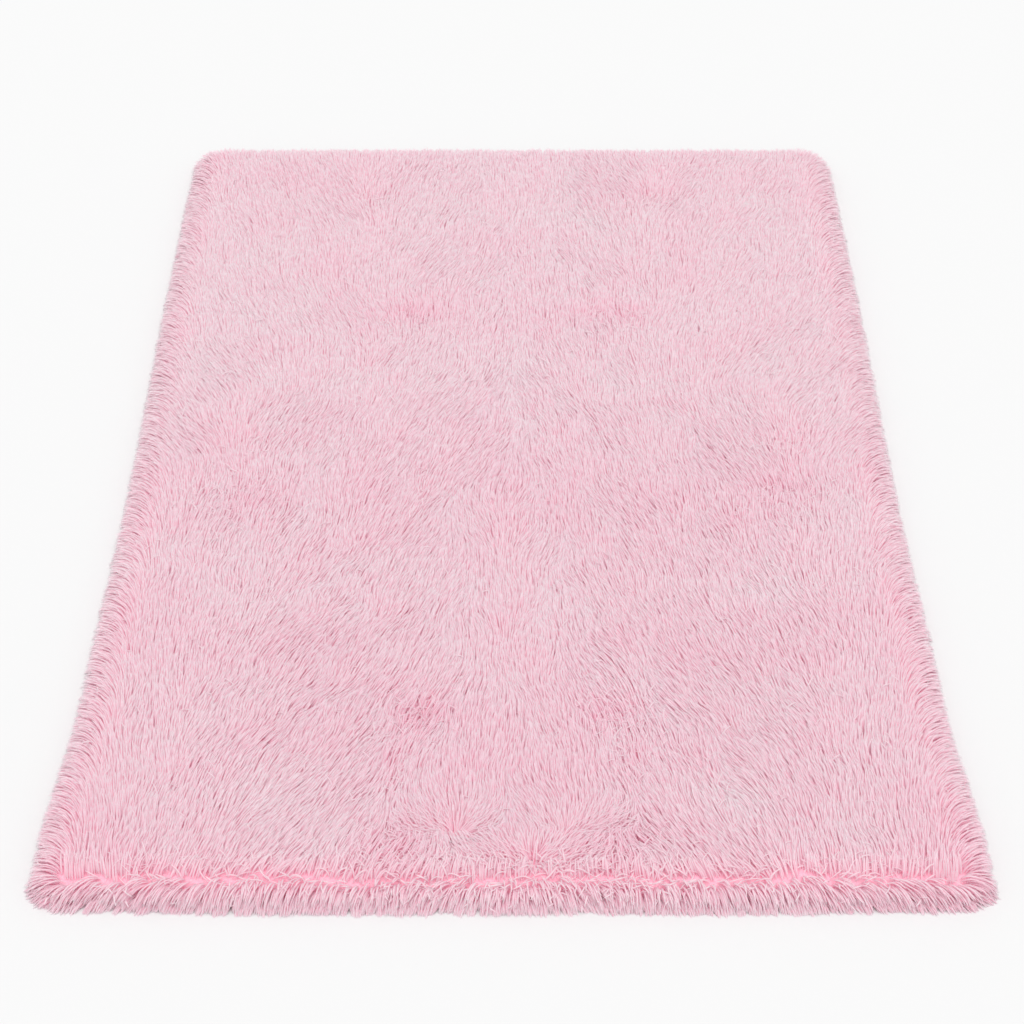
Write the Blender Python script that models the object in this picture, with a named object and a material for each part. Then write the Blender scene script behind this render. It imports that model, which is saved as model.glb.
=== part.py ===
"""Shag rug: one rectangle of long-pile cloth with rounded corners, lying flat on the floor.

The rug is one piece, a ground cloth cut to 1.20 x 1.80 m with its pile tufted into it, so it is one solid.
The solid reaches as far as the pile does: the pile stands about 30 mm high, leans out past the cut edge all
round, and rolls over it down to the floor. Units are metres, +Z is up, +Y runs along the rug's length, and
the origin is at the middle of the underside.
"""

import bisect
import math

import bmesh
import bpy
from mathutils import Vector

# Driving dimensions.
CUT_WIDTH = 1.20  # the ground cloth as cut
CUT_LENGTH = 1.80
PILE_REACH = 0.015  # how far the pile leans past the cut edge at both ends
PILE_HEIGHT = 0.030  # top of the pile away from its edges
FRONT_CORNER_RADIUS = 0.055
BACK_CORNER_RADIUS = 0.075

HALF_LENGTH = CUT_LENGTH / 2 + PILE_REACH
NOMINAL_HALF_WIDTH = CUT_WIDTH / 2 + PILE_REACH

# The long edges aren't straight: they draw in near the middle, and the pile splays at the front corners.
# (place, y, half_width)
SIDE_OUTLINE = (
    ("front_end", -0.915, 0.630),
    ("front_splay", -0.820, 0.630),
    ("front_quarter", -0.550, 0.614),
    ("waist", -0.110, 0.608),
    ("back_quarter", 0.450, 0.613),
    ("back_end", 0.915, 0.612),
)

# Section through an edge of the pile's top, from its outermost line inwards: (line, inset, height).
# The pile rolls over the edge, and parts a little way in, where it changes the way that it leans.
TOP_SECTION = (
    ("brow", 0.000, 0.012),
    ("shoulder", 0.005, 0.020),
    ("roll", 0.016, 0.027),
    ("parting", 0.036, 0.025),
    ("field_edge", 0.058, 0.029),
    ("field", 0.090, PILE_HEIGHT),
)
PARTING_INSET = 0.036
PARTING_HALF_WIDTH = 0.016
FRONT_PARTING_DEPTH = 0.006  # the parting is open along the front edge
FRONT_PARTING_SPAN = 0.50  # half of its length, centred on the rug

# The same section below the brow, down to the floor: (line, outset from the brow, height).
SIDE_SECTION = (
    ("tips", -0.001, 0.006),
    ("tuck", -0.005, 0.002),
    ("foot", -0.009, 0.000),
)

# Shallow hollows where the pile is matted, one on each side of the middle: (place, x, y, radius, depth).
HOLLOWS = (
    ("front_middle", 0.13, -0.80, 0.060, 0.004),
    ("front_third", 0.15, -0.62, 0.055, 0.005),
    ("side_middle", 0.45, -0.12, 0.065, 0.003),
    ("back_third", 0.17, 0.35, 0.055, 0.004),
    ("back_quarter", 0.26, 0.73, 0.050, 0.003),
)

FIELD_COLUMNS = 26  # grid cells across and along the field, between the edge sections
FIELD_ROWS = 38

PILE_COLOUR = (0.78, 0.52, 0.60, 1.0)
PILE_ROUGHNESS = 0.9


def clear_scene():
    for obj in list(bpy.data.objects):
        bpy.data.objects.remove(obj, do_unlink=True)


def interpolate(value, places, results):
    """The result at value, eased from each listed place to the next and level past the last."""
    i = min(max(bisect.bisect_right(places, value) - 1, 0), len(places) - 2)
    share = (value - places[i]) / (places[i + 1] - places[i])
    share = min(max(share, 0.0), 1.0)
    share = share * share * (3 - 2 * share)
    return results[i] + share * (results[i + 1] - results[i])


def half_width_at(y):
    return interpolate(y, [row[1] for row in SIDE_OUTLINE], [row[2] for row in SIDE_OUTLINE])


def grid_lines(half_size, field_cells):
    """Places of the grid's lines across the rug: the edge section's lines, then even ones over the field."""
    insets = [row[1] for row in TOP_SECTION]
    field_start = -half_size + insets[-1]
    step = -2 * field_start / field_cells
    left = [-half_size + inset for inset in insets]
    field = [field_start + step * i for i in range(1, field_cells)]
    return left + field + [-place for place in reversed(left)]


def rounded_corner(x, y):
    """Moves a point of the square-cornered rectangle onto the one with round corners.

    Within a corner, each square line around the corner's centre becomes an arc of that radius.
    """
    radius = FRONT_CORNER_RADIUS if y < 0 else BACK_CORNER_RADIUS
    dx = abs(x) - (NOMINAL_HALF_WIDTH - radius)
    dy = abs(y) - (HALF_LENGTH - radius)
    if dx <= 0 or dy <= 0:
        return x, y
    pull = max(dx, dy) / math.hypot(dx, dy)
    return (
        math.copysign(abs(x) - dx + dx * pull, x),
        math.copysign(abs(y) - dy + dy * pull, y),
    )


def plan_point(x, y):
    """Where a point of the plain rectangle lies in the rug's real outline."""
    x, y = rounded_corner(x, y)
    return x * half_width_at(y) / NOMINAL_HALF_WIDTH, y


def top_height(inset, x, y):
    """Height of the pile's top, from the edge section, the front parting and the matted hollows."""
    height = interpolate(inset, [row[1] for row in TOP_SECTION], [row[2] for row in TOP_SECTION])
    off_parting = abs(HALF_LENGTH + y - PARTING_INSET)
    if off_parting < PARTING_HALF_WIDTH and abs(x) < FRONT_PARTING_SPAN:
        height -= FRONT_PARTING_DEPTH * (1 - off_parting / PARTING_HALF_WIDTH)
    for _place, hollow_x, hollow_y, radius, depth in HOLLOWS:
        distance = math.hypot(abs(x) - hollow_x, y - hollow_y)
        height -= depth * math.exp(-((distance / radius) ** 2))
    return height


def make_top(mesh):
    """The pile's top as an open sheet, from the brow of its edge inwards."""
    columns = grid_lines(NOMINAL_HALF_WIDTH, FIELD_COLUMNS)
    rows = grid_lines(HALF_LENGTH, FIELD_ROWS)
    bmesh.ops.create_grid(mesh, x_segments=len(columns) - 1, y_segments=len(rows) - 1, size=1.0)
    for vertex in mesh.verts:
        column = round((vertex.co.x + 1) / 2 * (len(columns) - 1))
        row = round((vertex.co.y + 1) / 2 * (len(rows) - 1))
        x, y = columns[column], rows[row]
        inset = min(NOMINAL_HALF_WIDTH - abs(x), HALF_LENGTH - abs(y))
        plan_x, plan_y = plan_point(x, y)
        vertex.co = (plan_x, plan_y, top_height(inset, plan_x, plan_y))


def outward_directions(rim):
    """Level unit directions out of the rug, square to the rim, at each vertex of its edges."""
    directions = {}
    for vertex in {vertex for edge in rim for vertex in edge.verts}:
        before, after = (edge.other_vert(vertex).co for edge in vertex.link_edges if edge.is_boundary)
        out = Vector((after.y - before.y, before.x - after.x, 0)).normalized()
        directions[vertex] = out if out.dot(vertex.co) > 0 else -out
    return directions


def close_below(mesh):
    """Takes the rim down the side section to the floor, and closes the flat underside."""
    rim = [edge for edge in mesh.edges if edge.is_boundary]
    reached = 0.0
    for _line, outset, height in SIDE_SECTION:
        grown = bmesh.ops.extrude_edge_only(mesh, edges=rim)["geom"]
        rim = [item for item in grown if isinstance(item, bmesh.types.BMEdge) and item.is_boundary]
        for vertex, out in outward_directions(rim).items():
            vertex.co += out * (outset - reached)
            vertex.co.z = height
        reached = outset
    bmesh.ops.contextual_create(mesh, geom=rim)
    bmesh.ops.recalc_face_normals(mesh, faces=mesh.faces)


def pile_material():
    material = bpy.data.materials.new("pink_pile")
    material.use_nodes = True
    shader = material.node_tree.nodes["Principled BSDF"]
    shader.inputs["Base Color"].default_value = PILE_COLOUR
    shader.inputs["Roughness"].default_value = PILE_ROUGHNESS
    shader.inputs["Metallic"].default_value = 0.0
    return material


def make_rug(collection):
    mesh = bmesh.new()
    make_top(mesh)
    close_below(mesh)
    data = bpy.data.meshes.new("shag_rug")
    mesh.to_mesh(data)
    mesh.free()
    data.shade_smooth()
    data.materials.append(pile_material())
    rug = bpy.data.objects.new("shag_rug", data)
    collection.objects.link(rug)
    return rug


def main():
    clear_scene()
    collection = bpy.data.collections.new("shag_rug")
    bpy.context.scene.collection.children.link(collection)
    make_rug(collection)


main()
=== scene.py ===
"""Looks of the shag rug: a knitted ground cloth, and the pile on it as separate curved strands.

Every strand is a thin tapered ribbon. Its root stands on the ground cloth, and where it leans comes from how
the pile is combed there: lengthwise over the field, outwards and down to the floor along the edges. Strands
gather in small locks. The large shapes are the same on both sides of the rug's middle line.
"""

import math

import bpy
import numpy as np
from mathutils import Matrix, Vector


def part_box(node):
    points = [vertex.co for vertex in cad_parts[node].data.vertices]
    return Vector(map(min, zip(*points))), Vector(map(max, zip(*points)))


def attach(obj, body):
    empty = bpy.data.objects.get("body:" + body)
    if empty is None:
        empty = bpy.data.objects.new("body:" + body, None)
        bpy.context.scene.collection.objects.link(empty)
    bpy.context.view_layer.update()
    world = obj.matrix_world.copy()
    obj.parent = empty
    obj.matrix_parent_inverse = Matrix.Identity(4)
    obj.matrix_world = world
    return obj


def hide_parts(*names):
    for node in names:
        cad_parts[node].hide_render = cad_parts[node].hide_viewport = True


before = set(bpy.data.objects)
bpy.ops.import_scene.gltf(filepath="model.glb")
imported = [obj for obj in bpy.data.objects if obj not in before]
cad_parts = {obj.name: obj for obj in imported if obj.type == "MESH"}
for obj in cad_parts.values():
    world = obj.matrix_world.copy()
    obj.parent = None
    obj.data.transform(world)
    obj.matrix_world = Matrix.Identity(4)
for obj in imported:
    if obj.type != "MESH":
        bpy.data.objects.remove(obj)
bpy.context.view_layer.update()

SEED = 20

# The ground cloth, and how far inside the pile's outline its cut edge lies.
CLOTH_INSET = 0.015
CLOTH_TOP = 0.0025
CLOTH_COLUMNS, CLOTH_ROWS = 44, 66

# The lower pile, which is too dense for its strands to be told apart.
LOWER_PILE_TOP = 0.017
LOWER_PILE_SINK = 0.0005  # how far its underside lies inside the ground cloth
LOWER_PILE_ROLL = 0.042  # it reaches its full height this far inside the pile's outline
LOWER_PILE_COLUMNS, LOWER_PILE_ROWS = 84, 126

# The pile's outline, from the CAD model.
RUG = "shag_rug"
BROW_HEIGHT = 0.012  # where the CAD model is widest
HALF_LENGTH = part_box(RUG)[1][1]
FRONT_CORNER_RADIUS, BACK_CORNER_RADIUS = 0.055, 0.075

# Strands. They are told apart from the top of the lower pile upwards.
STRAND_LENGTH = 0.031
STRAND_WIDTH = 0.0030
MOST_HEIGHT = 0.0385  # of a strand's middle line
LEAST_HEIGHT = 0.0008
ROOT_DEPTH = 0.001  # how far a strand starts inside the lower pile
FIELD_PITCH = 0.00353  # between roots over the field
EDGE_PITCH = 0.00280  # between the extra roots along the edges
EDGE_EXTRA = 0.034  # how far in from the pile's outline the extra roots go
LOCK_PITCH = 0.0085
PARTING_INSET = 0.041  # of the parting along the front edge
PILE_PIECES = 5

# How the pile lies over the field. Angles are degrees from +Y, positive towards the nearer long side, and
# each mark counts over its radius, on both sides of the middle line: (place, x, y, degrees, radius).
COMBING = (
    ("back_middle", 0.04, 0.80, -6, 0.08),
    ("back_inner", 0.16, 0.76, -30, 0.06),
    ("back_outer", 0.36, 0.72, 28, 0.07),
    ("back_side", 0.51, 0.76, 12, 0.08),
    ("upper_middle", 0.04, 0.54, -4, 0.07),
    ("upper_inner", 0.16, 0.53, -26, 0.07),
    ("upper_outer", 0.33, 0.53, 5, 0.07),
    ("upper_side", 0.50, 0.50, 16, 0.08),
    ("ridge_middle", 0.05, 0.36, -4, 0.06),
    ("ridge_outer", 0.28, 0.37, 20, 0.06),
    ("ridge_side", 0.46, 0.36, 14, 0.07),
    ("centre_inner", 0.15, 0.22, -12, 0.07),
    ("centre_outer", 0.42, 0.22, 26, 0.06),
    ("centre_side", 0.53, 0.18, 42, 0.05),
    ("fold_inner", 0.14, 0.07, -22, 0.07),
    ("fold_middle", 0.26, 0.06, -12, 0.06),
    ("fold_outer", 0.38, 0.06, -30, 0.05),
    ("fold_side", 0.51, 0.05, 36, 0.05),
    ("waist_middle", 0.04, -0.22, 18, 0.05),
    ("waist_inner", 0.20, -0.20, -24, 0.09),
    ("waist_outer", 0.42, -0.20, -14, 0.07),
    ("waist_side", 0.54, -0.22, 12, 0.06),
    ("lower_middle", 0.03, -0.46, 10, 0.05),
    ("lower_inner", 0.14, -0.50, -34, 0.06),
    ("lower_outer", 0.28, -0.58, -38, 0.09),
    ("lower_side", 0.40, -0.55, -16, 0.06),
    ("lower_edge", 0.54, -0.58, 10, 0.07),
    ("fan_above", 0.03, -0.68, -4, 0.05),
    ("fan_beyond", 0.16, -0.70, -20, 0.04),
    ("front_outer", 0.31, -0.80, -40, 0.07),
    ("front_side", 0.45, -0.78, -12, 0.06),
    ("front_corner", 0.56, -0.82, 14, 0.05),
)

# Crowns, from which the pile fans out to all sides but the front: (place, x, y, radius).
CROWNS = (
    ("left", -0.076, -0.806, 0.046),
    ("right", 0.076, -0.806, 0.046),
    ("low", 0.027, -0.850, 0.036),
)
CROWN_STRENGTH = 1.8

MIDDLE_BLEND = 0.02  # the mirrored halves run into each other over this width

# Lean of the strands along the front edge: (x, degrees from -Y, positive towards the nearer long side).
FRONT_SPLAY = (
    (0.00, 4),
    (0.08, 34),
    (0.15, 8),
    (0.25, 22),
    (0.34, 12),
    (0.42, 38),
    (0.55, 42),
    (0.62, 50),
)

# Spots where the strands are matted and curly: (place, x, y, radius_x, radius_y, share of the strands).
MATTED = (
    ("front_third", 0.135, -0.605, 0.042, 0.034, 0.85),
    ("triangle_side", 0.172, -0.690, 0.020, 0.045, 0.45),
    ("front_middle", 0.150, -0.832, 0.050, 0.034, 0.55),
    ("front_edge", 0.000, -0.866, 0.230, 0.016, 0.40),
    ("side_middle", 0.430, -0.130, 0.055, 0.050, 0.45),
    ("side_fold", 0.420, 0.000, 0.035, 0.025, 0.35),
    ("back_third", 0.168, 0.345, 0.045, 0.034, 0.65),
    ("back_quarter", 0.260, 0.720, 0.040, 0.030, 0.40),
)

# Where the pile stands up and shows more of its deep pink, or lies flat and shows less. The same amounts
# tint the strands there, pinker as painted shade or paler as painted light: (place, x, y, radius_x,
# radius_y, amount).
RELIEF_AND_PAINTED_SHADE = (
    ("front_third", 0.130, -0.605, 0.040, 0.032, 0.50),
    ("triangle_side", 0.172, -0.690, 0.018, 0.055, 0.28),
    ("front_triangle", 0.000, -0.700, 0.160, 0.140, 0.26),
    ("front_middle", 0.150, -0.832, 0.050, 0.030, 0.36),
    ("front_edge", 0.250, -0.880, 0.360, 0.018, 0.10),
    ("front_edge_spot", 0.480, -0.875, 0.060, 0.018, 0.12),
    ("front_corner", 0.570, -0.810, 0.060, 0.080, 0.22),
    ("centre", 0.000, -0.120, 0.200, 0.160, 0.18),
    ("centre_side", 0.250, -0.140, 0.060, 0.080, 0.12),
    ("side_middle", 0.420, -0.130, 0.065, 0.075, 0.30),
    ("side_fold", 0.410, 0.010, 0.080, 0.022, 0.18),
    ("broad_low", 0.350, -0.470, 0.350, 0.070, 0.10),
    ("back_third", 0.168, 0.345, 0.052, 0.034, 0.42),
    ("back_arc", 0.310, 0.490, 0.032, 0.075, 0.22),
    ("back_far", 0.400, 0.790, 0.150, 0.060, 0.12),
    ("back_quarter", 0.250, 0.730, 0.050, 0.030, 0.16),
    ("back_middle", 0.000, 0.575, 0.080, 0.030, 0.14),
    ("pale_band", 0.000, 0.175, 0.400, 0.060, -0.16),
    ("pale_back", 0.500, 0.300, 0.120, 0.300, -0.16),
    ("pale_upper", 0.160, 0.657, 0.090, 0.050, -0.16),
    ("pale_lower", 0.315, -0.775, 0.060, 0.060, -0.20),
    ("pale_waist", 0.390, -0.360, 0.070, 0.050, -0.16),
)

# Shaders.
# Colour along a strand, from its root to its tip, of the palest strands and of the pinkest: (share, colour).
# The deeper pink towards the root is painted shade of the pile's depths.
PALE_STRAND_WITH_ROOT_SHADE = (
    (0.00, (0.96, 0.82, 0.88)),
    (0.35, (0.96, 0.88, 0.92)),
    (0.70, (0.96, 0.91, 0.935)),
    (1.00, (0.96, 0.92, 0.94)),
)
PINK_STRAND_WITH_ROOT_SHADE = (
    (0.00, (0.96, 0.62, 0.74)),
    (0.35, (0.96, 0.70, 0.80)),
    (0.70, (0.96, 0.77, 0.85)),
    (1.00, (0.96, 0.82, 0.88)),
)
# Painted shade at a strand's rims, as on a round fibre and in the slits between strands.
RIM_PAINTED_SHADE = (0.97, 0.36, 0.50)  # a strand's rims are this much deeper than its middle
RIM_SHADE_SHARPNESS = 4.0
# The lower pile's own pink, deepened as painted shade of the pile's depths.
LOWER_PILE_COLOURS_AND_SHADE = ((0.30, (0.97, 0.46, 0.58)), (0.70, (0.98, 0.58, 0.68)))

STRAND_GLOW = 0.48  # share of the light that goes through a strand
STRAND_ROUGHNESS = (0.90, 0.62)  # at the root and at the tip
UV_MAP = "OFBake"
TONE_LEVELS = 16  # each takes a column of the map, which runs across the strand
ACROSS = (0.02, 0.98)  # of its column, the part that a strand covers

# Camera and light.
CAMERA_PLACE = (0.0, -2.624, 2.18)
CAMERA_PITCH = 41.13  # degrees below the horizon
CAMERA_LENS = 74.25
CAMERA_SENSOR = 36.0
FLOOR_RADIUS = 14.0
FLOOR_TONE = 0.80
WORLD_STRENGTH = 0.76
SUN_STRENGTH = 1.44
LIGHT_BOUNCES = 10  # light reaches deep into the pile
SUN_ANGLE = 50.0
SUN_TILT = -16.0  # degrees from overhead, from in front of the rug


def smooth_step(value, start, end):
    share = np.clip((value - start) / (end - start), 0, 1)
    return share * share * (3 - 2 * share)


def soft_noise(x, y, cell, rng):
    """Smooth random values from -1 to 1 that change over about one cell."""
    columns, rows = int(1.6 / cell) + 3, int(2.2 / cell) + 3
    values = rng.uniform(-1, 1, (columns, rows))
    across, along = (x + 0.8) / cell, (y + 1.1) / cell
    i, j = across.astype(int), along.astype(int)
    fx, fy = smooth_step(across - i, 0, 1), smooth_step(along - j, 0, 1)
    near = values[i, j] * (1 - fx) + values[i + 1, j] * fx
    far = values[i, j + 1] * (1 - fx) + values[i + 1, j + 1] * fx
    return near * (1 - fy) + far * fy


def turned(direction, degrees):
    """Level directions turned towards +X by these angles."""
    angle = np.radians(degrees)
    x, y = direction[:, 0], direction[:, 1]
    return np.stack([x * np.cos(angle) + y * np.sin(angle), y * np.cos(angle) - x * np.sin(angle)], 1)


def unit(vectors):
    return vectors / np.maximum(np.linalg.norm(vectors, axis=1, keepdims=True), 1e-9)


def read_side_outline():
    """Half the rug's width along its length, from the CAD model's widest line between its corners."""
    mesh = bpy.data.objects[RUG].data
    points = np.empty(len(mesh.vertices) * 3, np.float32)
    mesh.vertices.foreach_get("co", points)
    points = points.reshape(-1, 3)
    between = np.abs(points[:, 1]) < HALF_LENGTH - BACK_CORNER_RADIUS
    widest = points[between & (np.abs(points[:, 2] - BROW_HEIGHT) < 1e-4) & (points[:, 0] > 0.5)]
    order = np.argsort(widest[:, 1])
    return widest[order, 1], widest[order, 0]


SIDE_Y, SIDE_X = read_side_outline()


def place_in_outline(x, y):
    """How far each point lies inside the pile's outline, and the level direction straight out of it."""
    radius = np.where(y < 0, FRONT_CORNER_RADIUS, BACK_CORNER_RADIUS)
    over_x = np.abs(x) - np.interp(y, SIDE_Y, SIDE_X) + radius
    over_y = np.abs(y) - HALF_LENGTH + radius
    corner = (over_x > 0) & (over_y > 0)
    distance = np.maximum(np.hypot(over_x, over_y), 1e-9)
    inset = radius - np.where(corner, distance, np.maximum(over_x, over_y))
    out_x = np.where(corner, over_x / distance, over_x > over_y)
    out_y = np.where(corner, over_y / distance, over_x <= over_y)
    return inset, np.stack([out_x * np.sign(x), out_y * np.sign(y)], 1)


def jittered_grid(pitch, rng):
    """Points scattered evenly over the rug's box, one in each cell."""
    columns, rows = int(1.28 / pitch), int(1.86 / pitch)
    i, j = np.meshgrid(np.arange(columns), np.arange(rows), indexing="ij")
    x = (i - columns / 2 + rng.uniform(0.1, 0.9, i.shape)) * pitch
    y = (j - rows / 2 + rng.uniform(0.1, 0.9, i.shape)) * pitch
    return x.ravel(), y.ravel()


def root_points(rng):
    """Where the strands stand: all over the ground cloth, and closer together along its edges."""
    x, y = jittered_grid(FIELD_PITCH, rng)
    inset, _out = place_in_outline(x, y)
    field = inset > CLOTH_INSET
    more_x, more_y = jittered_grid(EDGE_PITCH, rng)
    inset, _out = place_in_outline(more_x, more_y)
    edge = (inset > CLOTH_INSET) & (inset < EDGE_EXTRA)
    return np.append(x[field], more_x[edge]), np.append(y[field], more_y[edge])


def combed(x, y):
    """The level directions in which the field's roots and tips lie, from the marks around each point."""
    across, along = np.zeros(len(x)), np.full(len(x), 0.02)
    for _place, mark_x, mark_y, degrees, radius in COMBING:
        weight = np.exp(-((np.abs(x) - mark_x) ** 2 + (y - mark_y) ** 2) / radius**2 / 2)
        across += weight * math.sin(math.radians(degrees))
        along += weight * math.cos(math.radians(degrees))
    root_lean = np.stack([across * np.tanh(x / MIDDLE_BLEND), along], 1)
    tip_lean = root_lean.copy()
    for _place, crown_x, crown_y, radius in CROWNS:
        away = np.stack([x - crown_x, y - crown_y], 1)
        distance = np.linalg.norm(away, axis=1)
        weight = CROWN_STRENGTH * np.exp(-((distance / radius) ** 2) / 2)
        weight = weight * smooth_step(distance, 0, radius / 2)
        weight *= smooth_step(away[:, 1], -0.02, 0.0)
        tip_lean += away / np.maximum(distance, 1e-6)[:, None] * weight[:, None]
    return unit(root_lean), unit(tip_lean)


def spots(x, y, marks):
    """The sum of soft round or oval spots: (place, x, y, radius_x, radius_y, amount)."""
    total = np.zeros(len(x))
    for _place, mark_x, mark_y, radius_x, radius_y, amount in marks:
        off = ((np.abs(x) - mark_x) / radius_x) ** 2 + ((y - mark_y) / radius_y) ** 2
        total += amount * np.exp(-off)
    return total


def nearest_locks(x, y, rng):
    """For each strand, the number of its lock and how far the strand stands from the lock's middle."""
    columns, rows = int(1.4 / LOCK_PITCH), int(2.0 / LOCK_PITCH)
    shift = rng.uniform(-0.45, 0.45, (2, columns, rows))
    across, along = x / LOCK_PITCH + columns / 2, y / LOCK_PITCH + rows / 2
    best = np.full(len(x), 9.0)
    lock = np.zeros(len(x), int)
    away = np.zeros((len(x), 2))
    for side in (-1, 0, 1):
        for step in (-1, 0, 1):
            i, j = across.astype(int) + side, along.astype(int) + step
            off_x = across - (i + 0.5 + shift[0, i, j])
            off_y = along - (j + 0.5 + shift[1, i, j])
            nearer = off_x**2 + off_y**2 < best
            best[nearer] = (off_x**2 + off_y**2)[nearer]
            lock[nearer] = (i * rows + j)[nearer]
            away[nearer] = np.stack([off_x, off_y], 1)[nearer] * LOCK_PITCH
    return lock, away, columns * rows


class Pile:
    """The strands' facts, one row for each."""


def lower_pile_top(inset):
    """Height of the lower pile, which rolls down to the ground cloth at its edge."""
    return CLOTH_TOP + (LOWER_PILE_TOP - CLOTH_TOP) * smooth_step(inset, CLOTH_INSET, LOWER_PILE_ROLL)


def plan_pile(rng):
    """Decides every strand: its root, how it leans at its root and its tip, its size and its tone."""
    pile = Pile()
    pile.x, pile.y = root_points(rng)
    count = len(pile.x)
    inset, out = place_in_outline(pile.x, pile.y)
    pile.ground = lower_pile_top(inset) - ROOT_DEPTH
    lock, pile.away, locks = nearest_locks(pile.x, pile.y, rng)

    def by_lock(low, high):
        return rng.uniform(low, high, locks)[lock]

    def each(low, high):
        return rng.uniform(low, high, count)

    root_lean, tip_lean = combed(pile.x, pile.y)
    swirl = 12 * soft_noise(pile.x, pile.y, 0.045, rng) + 7 * soft_noise(pile.x, pile.y, 0.020, rng)
    swirl = swirl + by_lock(-3, 3) + each(-3, 3)
    bend = 20 * soft_noise(pile.x, pile.y, 0.045, rng) + by_lock(-6, 6) + each(-4, 4)
    root_lean, tip_lean = turned(root_lean, swirl), turned(tip_lean, swirl + bend)

    # Edges: along the sides and the back the pile turns outwards bit by bit, along the front it parts.
    splay = np.interp(np.abs(pile.x), [row[0] for row in FRONT_SPLAY], [row[1] for row in FRONT_SPLAY])
    front = out[:, 1] < -0.5
    splayed = turned(out, -np.sign(pile.x) * splay * np.clip(-out[:, 1], 0, 1))
    outwards = turned(np.where(front[:, None], splayed, out), by_lock(-11, 11) + each(-7, 7))
    parting = PARTING_INSET + 0.006 * soft_noise(pile.x, pile.y, 0.022, rng) + by_lock(-0.005, 0.005)
    turn_root = np.where(front, inset < parting, 0.85 * smooth_step(inset, 0.058, 0.026))
    turn_tip = np.where(front, inset < parting, smooth_step(inset, 0.072, 0.036))
    pile.root_lean = unit(root_lean + (outwards - root_lean) * turn_root[:, None])
    pile.tip_lean = unit(tip_lean + (outwards - tip_lean) * turn_tip[:, None])

    # Steepness: strands rise and bend over. Those at the cut edge hang to the floor, and the ones along the
    # parting stand up.
    hang = np.interp(out[:, 1], (-0.7, -0.3, 0.3, 0.7), (1.0, 0.65, 0.65, 0.3))
    at_front_edge, at_other_edge = smooth_step(inset, 0.052, 0.028), smooth_step(inset, 0.048, CLOTH_INSET)
    at_edge = np.where(front, at_front_edge, at_other_edge) * hang
    at_rim = smooth_step(inset, 0.036, CLOTH_INSET)
    at_corner = 2 * np.abs(out[:, 0] * out[:, 1]) * smooth_step(inset, 0.060, 0.030)
    at_parting = front * smooth_step(np.abs(inset - parting), 0.014, 0.0)
    at_parting *= 1 - 0.4 * smooth_step(np.abs(pile.x), 0.20, 0.30)
    stands = spots(pile.x, pile.y, RELIEF_AND_PAINTED_SHADE) + 0.12 * soft_noise(pile.x, pile.y, 0.05, rng)
    pile.rise = 56 + by_lock(-4, 4) + each(-4, 4) - 6 * at_edge + 24 * at_parting + 22 * stands
    pile.rise += 8 * front * at_edge
    pile.fall = 2 + by_lock(-4, 4) + each(-5, 5) - 74 * at_edge + 30 * at_parting + 26 * stands
    longer = 0.26 * front * at_edge + 0.22 * at_corner - 0.42 * at_rim - 0.16 * at_parting
    pile.length = STRAND_LENGTH * (1.03 + by_lock(-0.08, 0.08) + each(-0.10, 0.10) + longer)
    pile.width = STRAND_WIDTH * each(0.75, 1.2)
    pile.roll = each(-20, 20)
    pile.gather = by_lock(0.0, 0.35)

    # Matted spots, and a few stray strands anywhere.
    messy = each(0, 1) < 0.02 + spots(pile.x, pile.y, MATTED)
    behind_parting = front & (np.abs(inset - parting - 0.010) < 0.014) & (np.abs(pile.x) < 0.54)
    messy |= behind_parting & (each(0, 1) < 0.25)
    astray = np.where(messy, each(-65, 65), 0)
    pile.root_lean = turned(pile.root_lean, astray)
    pile.tip_lean = turned(pile.tip_lean, astray + np.where(messy, each(-100, 100), 0))
    pile.rise = np.where(messy, each(50, 85), pile.rise)
    pile.fall = np.where(messy, each(-30, 20), pile.fall)
    pile.gather = np.where(messy, 0.1, pile.gather)
    pile.length = np.where(messy, pile.length * 0.92, pile.length)

    # Painted light: strands near the sides and the back are paler, lightening edges that the pile shades.
    painted_light_at_edge = 0.34 * smooth_step(inset, 0.050, 0.020) * np.where(front, 0.0, 1.0)
    # Each strand's tone differs at random by lock and strand and is pinker towards the front. The relief
    # spots add painted shade and painted light.
    pile.tone = 0.34 - 0.10 * pile.y + by_lock(-0.08, 0.08) + each(-0.13, 0.13)
    pile.tone += 0.05 * soft_noise(pile.x, pile.y, 0.09, rng) + stands - painted_light_at_edge
    # Painted light: strands along the parting, whose roots stand in the open, are paler so that the painted
    # root shade shows less there. Matted strands are paler too.
    pile.tone = np.clip(pile.tone - 0.30 * messy - 0.25 * at_parting, 0.02, 0.98)
    pile.segments = np.where((inset < 0.045) | messy, 5, 3)
    return pile


STATIONS = {3: (0.0, 0.42, 0.76, 1.0), 5: (0.0, 0.24, 0.46, 0.66, 0.84, 1.0)}
WIDTHS = {3: (0.0, 1.0, 0.72, 0.0), 5: (0.0, 0.95, 1.0, 0.85, 0.55, 0.0)}


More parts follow.
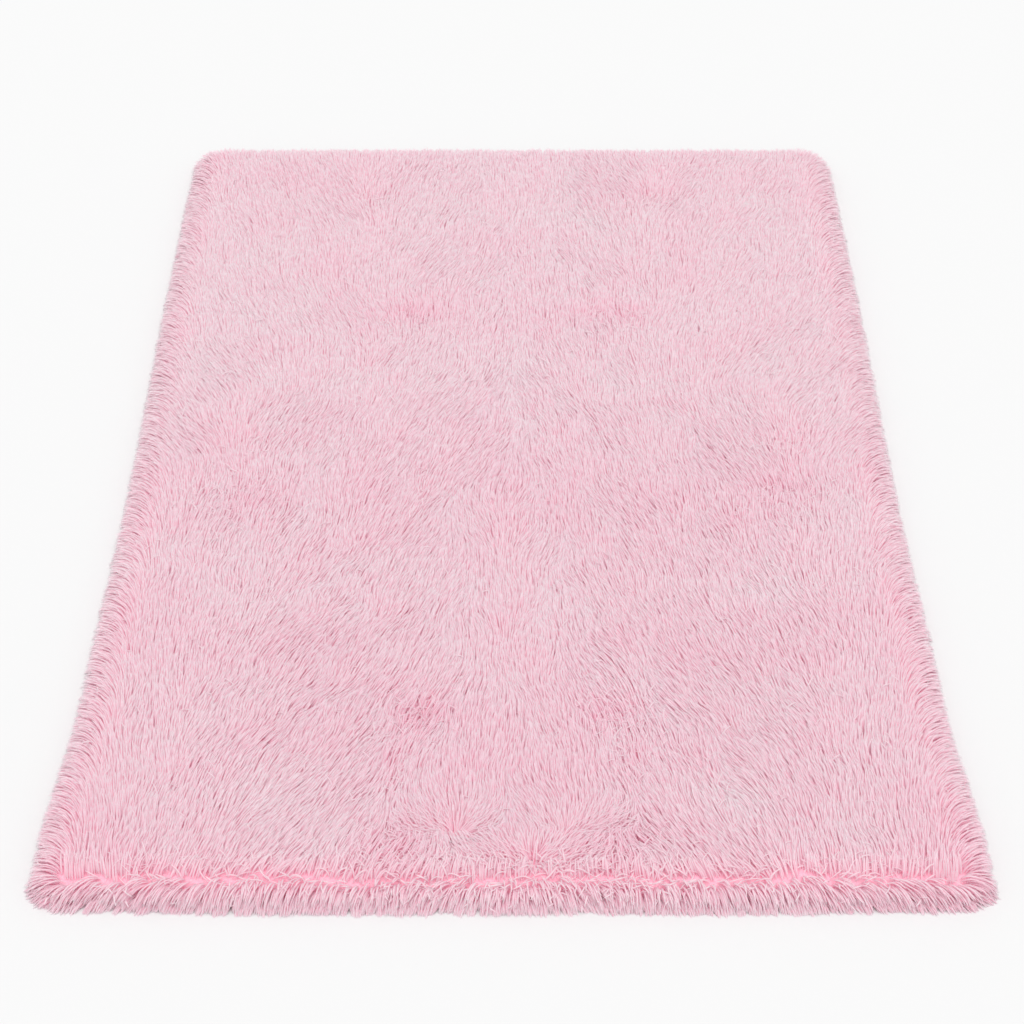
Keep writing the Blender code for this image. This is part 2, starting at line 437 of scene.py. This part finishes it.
def strand_rows(pile, chosen, segments):
    """The middle points of the chosen strands at each station, and the half-width vectors there."""
    root_lean, tip_lean = pile.root_lean[chosen], pile.tip_lean[chosen]
    rise, fall, length = pile.rise[chosen], pile.fall[chosen], pile.length[chosen]
    roll = np.radians(pile.roll[chosen])[:, None]
    places = np.stack([pile.x[chosen], pile.y[chosen], pile.ground[chosen]], 1)
    middles, halves, last = [], [], 0.0
    for station, width in zip(STATIONS[segments], WIDTHS[segments]):
        middle = (station + last) / 2
        share = middle**0.85
        lean = unit(root_lean + (tip_lean - root_lean) * share)
        steep = np.radians(rise + (fall - rise) * share)
        along = np.stack([lean[:, 0] * np.cos(steep), lean[:, 1] * np.cos(steep), np.sin(steep)], 1)
        places = places + along * (length * (station - last))[:, None]
        side = np.stack([lean[:, 1], -lean[:, 0], np.zeros(len(rise))], 1)
        upright = np.cross(side, along)
        gathered = places.copy()
        gathered[:, :2] -= pile.away[chosen] * (pile.gather[chosen] * station**1.4)[:, None]
        gathered[:, 2] = np.clip(gathered[:, 2], LEAST_HEIGHT, MOST_HEIGHT)
        middles.append(gathered)
        flat_way = side * np.cos(roll) + upright * np.sin(roll)
        halves.append(flat_way * (pile.width[chosen] * width / 2)[:, None])
        last = station
    return middles, halves


def strand_mesh(pile, chosen, segments):
    """Vertices, faces and map places of the chosen strands: a point, pairs of vertices, and a point."""
    middles, halves = strand_rows(pile, chosen, segments)
    corners, places = [middles[0]], [(0.5, 0.0)]
    for middle, half, station in list(zip(middles, halves, STATIONS[segments]))[1:-1]:
        corners += [middle - half, middle + half]
        places += [(ACROSS[0], station), (ACROSS[1], station)]
    corners.append(middles[-1])
    places.append((0.5, 1.0))
    vertices = np.stack(corners, 1)
    level = np.floor(pile.tone[chosen] * TONE_LEVELS)
    uv = np.stack([np.stack([(level + u) / TONE_LEVELS, np.full(len(level), v)], 1) for u, v in places], 1)
    faces = [(0, 2, 1)]
    faces += [(2 * row - 1, 2 * row, 2 * row + 2, 2 * row + 1) for row in range(1, segments - 1)]
    faces.append((2 * segments - 3, 2 * segments - 2, 2 * segments - 1))
    return vertices, uv, faces


def make_strand_object(name, pile, chosen):
    """One piece of the pile, from all its strands of each kind."""
    points, maps, loops, sizes, first = [], [], [], [], 0
    for segments in STATIONS:
        of_kind = chosen[pile.segments[chosen] == segments]
        vertices, uv, faces = strand_mesh(pile, of_kind, segments)
        count, each = vertices.shape[:2]
        corner = np.concatenate(faces)
        starts = first + np.arange(count) * each
        loops.append((starts[:, None] + corner).ravel())
        maps.append(uv[:, corner].reshape(-1, 2))
        sizes.append(np.tile([len(face) for face in faces], count))
        points.append(vertices.reshape(-1, 3))
        first += count * each
    points, maps = np.concatenate(points), np.concatenate(maps)
    loops, sizes = np.concatenate(loops), np.concatenate(sizes)
    mesh = bpy.data.meshes.new(name)
    mesh.vertices.add(len(points))
    mesh.vertices.foreach_set("co", points.astype(np.float32).ravel())
    mesh.loops.add(len(loops))
    mesh.loops.foreach_set("vertex_index", loops.astype(np.int32))
    mesh.polygons.add(len(sizes))
    mesh.polygons.foreach_set("loop_start", (np.cumsum(sizes) - sizes).astype(np.int32))
    mesh.update(calc_edges=True)
    mesh.validate()
    mesh.uv_layers.new(name=UV_MAP).uv.foreach_set("vector", maps.astype(np.float32).ravel())
    mesh.shade_smooth()
    piece = bpy.data.objects.new(name, mesh)
    bpy.context.scene.collection.objects.link(piece)
    return piece


def new_material(name):
    material = bpy.data.materials.new(name)
    material.use_nodes = True
    return material, material.node_tree, material.node_tree.nodes["Principled BSDF"]


def colour_ramp(tree, stops):
    ramp = tree.nodes.new("ShaderNodeValToRGB").color_ramp
    node = tree.nodes[-1]
    while len(ramp.elements) < len(stops):
        ramp.elements.new(0.5)
    for element, (place, colour) in zip(ramp.elements, stops):
        element.position = place
        element.color = (*colour, 1.0)
    return node


def let_light_through(tree, shader, colour):
    """Mixes in a share of light from behind, as in a thin fibre."""
    through = tree.nodes.new("ShaderNodeBsdfTranslucent")
    tree.links.new(colour, through.inputs["Color"])
    both = tree.nodes.new("ShaderNodeMixShader")
    both.inputs[0].default_value = STRAND_GLOW
    tree.links.new(shader.outputs[0], both.inputs[1])
    tree.links.new(through.outputs[0], both.inputs[2])
    tree.links.new(both.outputs[0], tree.nodes["Material Output"].inputs["Surface"])


def math_node(tree, operation, first, second=0.0):
    """The output of a Math node whose inputs are sockets or numbers."""
    node = tree.nodes.new("ShaderNodeMath")
    node.operation = operation
    for socket, value in zip(node.inputs, (first, second)):
        if isinstance(value, float):
            socket.default_value = value
        else:
            tree.links.new(value, socket)
    return node.outputs[0]


def mixed_colour(tree, blend, share, first, second):
    """The output of a colour Mix node. share is a socket, and each colour a socket or three numbers."""
    node = tree.nodes.new("ShaderNodeMix")
    node.data_type, node.blend_type = "RGBA", blend
    tree.links.new(share, node.inputs[0])
    for socket, value in ((node.inputs[6], first), (node.inputs[7], second)):
        if isinstance(value, tuple):
            socket.default_value = (*value, 1.0)
        else:
            tree.links.new(value, socket)
    return node.outputs[2]


def strand_material():
    """Deep pink at the root and pale at the tip, as painted shade of the pile's depths, and deeper at its
    rims as painted shade.

    The map's v runs along a strand. Its u has a column for each tone, and runs across the strand in it.
    """
    material, tree, shader = new_material("pink_strand")
    place = tree.nodes.new("ShaderNodeUVMap")
    place.uv_map = UV_MAP
    parts = tree.nodes.new("ShaderNodeSeparateXYZ")
    tree.links.new(place.outputs["UV"], parts.inputs[0])
    columns = math_node(tree, "MULTIPLY", parts.outputs["X"], float(TONE_LEVELS))
    tone = math_node(tree, "DIVIDE", math_node(tree, "FLOOR", columns), float(TONE_LEVELS))
    across = math_node(tree, "SUBTRACT", math_node(tree, "FRACT", columns), 0.5)
    off_middle = math_node(tree, "MULTIPLY", math_node(tree, "ABSOLUTE", across), 2.0)
    # Painted shade towards the strand's rims.
    rim = math_node(tree, "POWER", off_middle, RIM_SHADE_SHARPNESS)
    # Pale and pink strands, each deeper towards the root as painted shade.
    pale, pink = colour_ramp(tree, PALE_STRAND_WITH_ROOT_SHADE), colour_ramp(tree, PINK_STRAND_WITH_ROOT_SHADE)
    tree.links.new(parts.outputs["Y"], pale.inputs["Fac"])
    tree.links.new(parts.outputs["Y"], pink.inputs["Fac"])
    middle = mixed_colour(tree, "MIX", tone, pale.outputs["Color"], pink.outputs["Color"])
    colour = mixed_colour(tree, "MULTIPLY", rim, middle, RIM_PAINTED_SHADE)
    tree.links.new(colour, shader.inputs["Base Color"])
    rough = tree.nodes.new("ShaderNodeMapRange")
    rough.inputs["To Min"].default_value, rough.inputs["To Max"].default_value = STRAND_ROUGHNESS
    tree.links.new(parts.outputs["Y"], rough.inputs["Value"])
    tree.links.new(rough.outputs[0], shader.inputs["Roughness"])
    shader.inputs["Sheen Weight"].default_value = 0.25
    shader.inputs["Sheen Roughness"].default_value = 0.4
    shader.inputs["Sheen Tint"].default_value = (1.0, 0.93, 0.95, 1.0)
    let_light_through(tree, shader, colour)
    return material


def make_pile(rng):
    """The pile in pieces, one behind another along the rug."""
    pile = plan_pile(rng)
    order = np.argsort(pile.y, kind="stable")
    triangles = np.cumsum(2 * pile.segments[order] - 2)
    piece_of = (triangles * PILE_PIECES / (triangles[-1] + 1)).astype(int)
    material = strand_material()
    pieces = []
    for number in range(PILE_PIECES):
        piece = make_strand_object(f"pile_{number + 1}", pile, order[piece_of == number])
        piece.data.materials.append(material)
        pieces.append(piece)
    print("PILE strands", len(pile.x), "triangles", triangles[-1], flush=True)
    return pieces


def cloth_material():
    """Pink knitted ground: fine ribs and loops in relief, and a slightly uneven dye."""
    material, tree, shader = new_material("pink_knit")
    place = tree.nodes.new("ShaderNodeTexCoord").outputs["Object"]
    cloudy = tree.nodes.new("ShaderNodeTexNoise")
    cloudy.inputs["Scale"].default_value = 40.0
    cloudy.inputs["Detail"].default_value = 6.0
    tree.links.new(place, cloudy.inputs["Vector"])
    ramp = colour_ramp(tree, ((0.3, (0.86, 0.46, 0.55)), (0.7, (0.92, 0.56, 0.64))))
    tree.links.new(cloudy.outputs[0], ramp.inputs["Fac"])
    tree.links.new(ramp.outputs["Color"], shader.inputs["Base Color"])
    heights = []
    for direction in ("X", "Y"):
        rib = tree.nodes.new("ShaderNodeTexWave")
        rib.bands_direction = direction
        rib.inputs["Scale"].default_value = 160.0
        rib.inputs["Distortion"].default_value = 0.6
        tree.links.new(place, rib.inputs["Vector"])
        heights.append(rib.outputs["Fac"])
    weave = tree.nodes.new("ShaderNodeMath")
    weave.operation = "MULTIPLY"
    tree.links.new(heights[0], weave.inputs[0])
    tree.links.new(heights[1], weave.inputs[1])
    bump = tree.nodes.new("ShaderNodeBump")
    bump.inputs["Strength"].default_value = 0.5
    bump.inputs["Distance"].default_value = 0.0006
    tree.links.new(weave.outputs[0], bump.inputs["Height"])
    tree.links.new(bump.outputs[0], shader.inputs["Normal"])
    shader.inputs["Roughness"].default_value = 0.92
    shader.inputs["Sheen Weight"].default_value = 0.2
    return material


def cloth_point(column, row):
    """A point of the ground cloth's grid, from 0 to 1 each way, in its rounded and uneven outline."""
    y = (2 * row - 1) * (HALF_LENGTH - CLOTH_INSET)
    half_width = float(np.interp(y, SIDE_Y, SIDE_X)) - CLOTH_INSET
    x = (2 * column - 1) * half_width
    radius = (FRONT_CORNER_RADIUS if y < 0 else BACK_CORNER_RADIUS) - CLOTH_INSET
    over_x, over_y = abs(x) - half_width + radius, abs(y) - HALF_LENGTH + CLOTH_INSET + radius
    if over_x > 0 and over_y > 0:
        pull = max(over_x, over_y) / math.hypot(over_x, over_y)
        x = math.copysign(abs(x) - over_x + over_x * pull, x)
        y = math.copysign(abs(y) - over_y + over_y * pull, y)
    return x, y


def cloth_grid(columns, rows):
    """The points of a grid over the ground cloth, row by row, and the faces between them."""
    flat = [cloth_point(i / columns, j / rows) for j in range(rows + 1) for i in range(columns + 1)]
    step = columns + 1
    starts = [j * step + i for j in range(rows) for i in range(columns)]
    return flat, [(first, first + 1, first + step + 1, first + step) for first in starts]


def make_ground_cloth():
    """The cloth that holds the pile, a thin closed sheet lying on the floor."""
    mesh = bpy.data.meshes.new("ground_cloth")
    flat, faces = cloth_grid(CLOTH_COLUMNS, CLOTH_ROWS)
    mesh.from_pydata([(x, y, CLOTH_TOP) for x, y in flat], [], faces)
    mesh.validate()
    cloth = bpy.data.objects.new("ground_cloth", mesh)
    bpy.context.scene.collection.objects.link(cloth)
    cloth.data.materials.append(cloth_material())
    thick = cloth.modifiers.new("thickness", "SOLIDIFY")
    thick.thickness = CLOTH_TOP
    thick.offset = -1.0
    return cloth


def lower_pile_material():
    """Pink fibres seen end on, deeper pink than the strands' roots as painted shade of the pile's depths:
    fine grain in the colour and in relief.
    """
    material, tree, shader = new_material("lower_pile")
    place = tree.nodes.new("ShaderNodeTexCoord").outputs["Object"]
    grain = tree.nodes.new("ShaderNodeTexNoise")
    grain.inputs["Scale"].default_value = 350.0
    grain.inputs["Detail"].default_value = 4.0
    tree.links.new(place, grain.inputs["Vector"])
    ramp = colour_ramp(tree, LOWER_PILE_COLOURS_AND_SHADE)
    tree.links.new(grain.outputs[0], ramp.inputs["Fac"])
    tree.links.new(ramp.outputs["Color"], shader.inputs["Base Color"])
    bump = tree.nodes.new("ShaderNodeBump")
    bump.inputs["Strength"].default_value = 0.4
    bump.inputs["Distance"].default_value = 0.001
    tree.links.new(grain.outputs[0], bump.inputs["Height"])
    tree.links.new(bump.outputs[0], shader.inputs["Normal"])
    shader.inputs["Roughness"].default_value = 0.95
    return material


def rim_of_grid(columns, rows):
    """The numbers of a grid's outer points, anticlockwise from its first."""
    step, count = columns + 1, (columns + 1) * (rows + 1)
    front, right = range(step - 1), range(step - 1, count - 1, step)
    back, left = range(count - 1, count - step, -1), range(count - step, 0, -step)
    return [*front, *right, *back, *left]


def make_lower_pile(rng):
    """The dense lower pile, a closed low cushion on the ground cloth."""
    flat, faces = cloth_grid(LOWER_PILE_COLUMNS, LOWER_PILE_ROWS)
    x, y = np.array(flat).T
    inset, _out = place_in_outline(x, y)
    top = lower_pile_top(inset) + 0.001 * soft_noise(x, y, 0.02, rng) * smooth_step(inset, 0.02, 0.05)
    count = len(flat)
    points = [*zip(x, y, top), *((px, py, CLOTH_TOP - LOWER_PILE_SINK) for px, py in flat)]
    rim = rim_of_grid(LOWER_PILE_COLUMNS, LOWER_PILE_ROWS)
    walls = [(a + count, b + count, b, a) for a, b in zip(rim, rim[1:] + rim[:1])]
    under = [tuple(corner + count for corner in reversed(face)) for face in faces]
    mesh = bpy.data.meshes.new("pile_base")
    mesh.from_pydata([tuple(map(float, point)) for point in points], [], faces + walls + under)
    mesh.validate()
    mesh.shade_smooth()
    base = bpy.data.objects.new("pile_base", mesh)
    bpy.context.scene.collection.objects.link(base)
    base.data.materials.append(lower_pile_material())
    return base


def make_camera():
    data = bpy.data.cameras.new("camera")
    data.lens, data.sensor_width = CAMERA_LENS, CAMERA_SENSOR
    camera = bpy.data.objects.new("camera", data)
    camera.location = CAMERA_PLACE
    camera.rotation_euler = (math.radians(90 - CAMERA_PITCH), 0, 0)
    bpy.context.scene.collection.objects.link(camera)
    bpy.context.scene.camera = camera


def make_floor():
    """A plain pale floor, level with the rug's underside."""
    bpy.ops.mesh.primitive_circle_add(vertices=64, radius=FLOOR_RADIUS, fill_type="NGON")
    floor = bpy.context.object
    floor.name = "floor"
    material, _tree, shader = new_material("pale_floor")
    shader.inputs["Base Color"].default_value = (FLOOR_TONE, FLOOR_TONE, FLOOR_TONE, 1)
    shader.inputs["Roughness"].default_value = 1.0
    shader.inputs["Specular IOR Level"].default_value = 0.0
    floor.data.materials.append(material)


def make_light():
    """An even white room, and a broad soft light above, a little behind the rug."""
    world = bpy.data.worlds.new("studio")
    bpy.context.scene.world = world
    world.use_nodes = True
    world.node_tree.nodes["Background"].inputs["Color"].default_value = (1, 1, 1, 1)
    world.node_tree.nodes["Background"].inputs["Strength"].default_value = WORLD_STRENGTH
    light = bpy.data.lights.new("soft_light", "SUN")
    light.energy, light.angle = SUN_STRENGTH, math.radians(SUN_ANGLE)
    lamp = bpy.data.objects.new("soft_light", light)
    lamp.rotation_euler = (-math.radians(SUN_TILT), 0, math.radians(12))
    bpy.context.scene.collection.objects.link(lamp)
    bpy.context.scene.view_settings.view_transform = "Standard"
    bpy.context.scene.cycles.diffuse_bounces = LIGHT_BOUNCES
    bpy.context.scene.cycles.max_bounces = LIGHT_BOUNCES


def main():
    rng = np.random.default_rng(SEED)
    make_camera()
    make_floor()
    make_light()
    cloth = make_ground_cloth()
    pieces = [*make_pile(rng), make_lower_pile(rng)]
    for piece in [cloth, *pieces]:
        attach(piece, "root")
        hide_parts(RUG)


main()
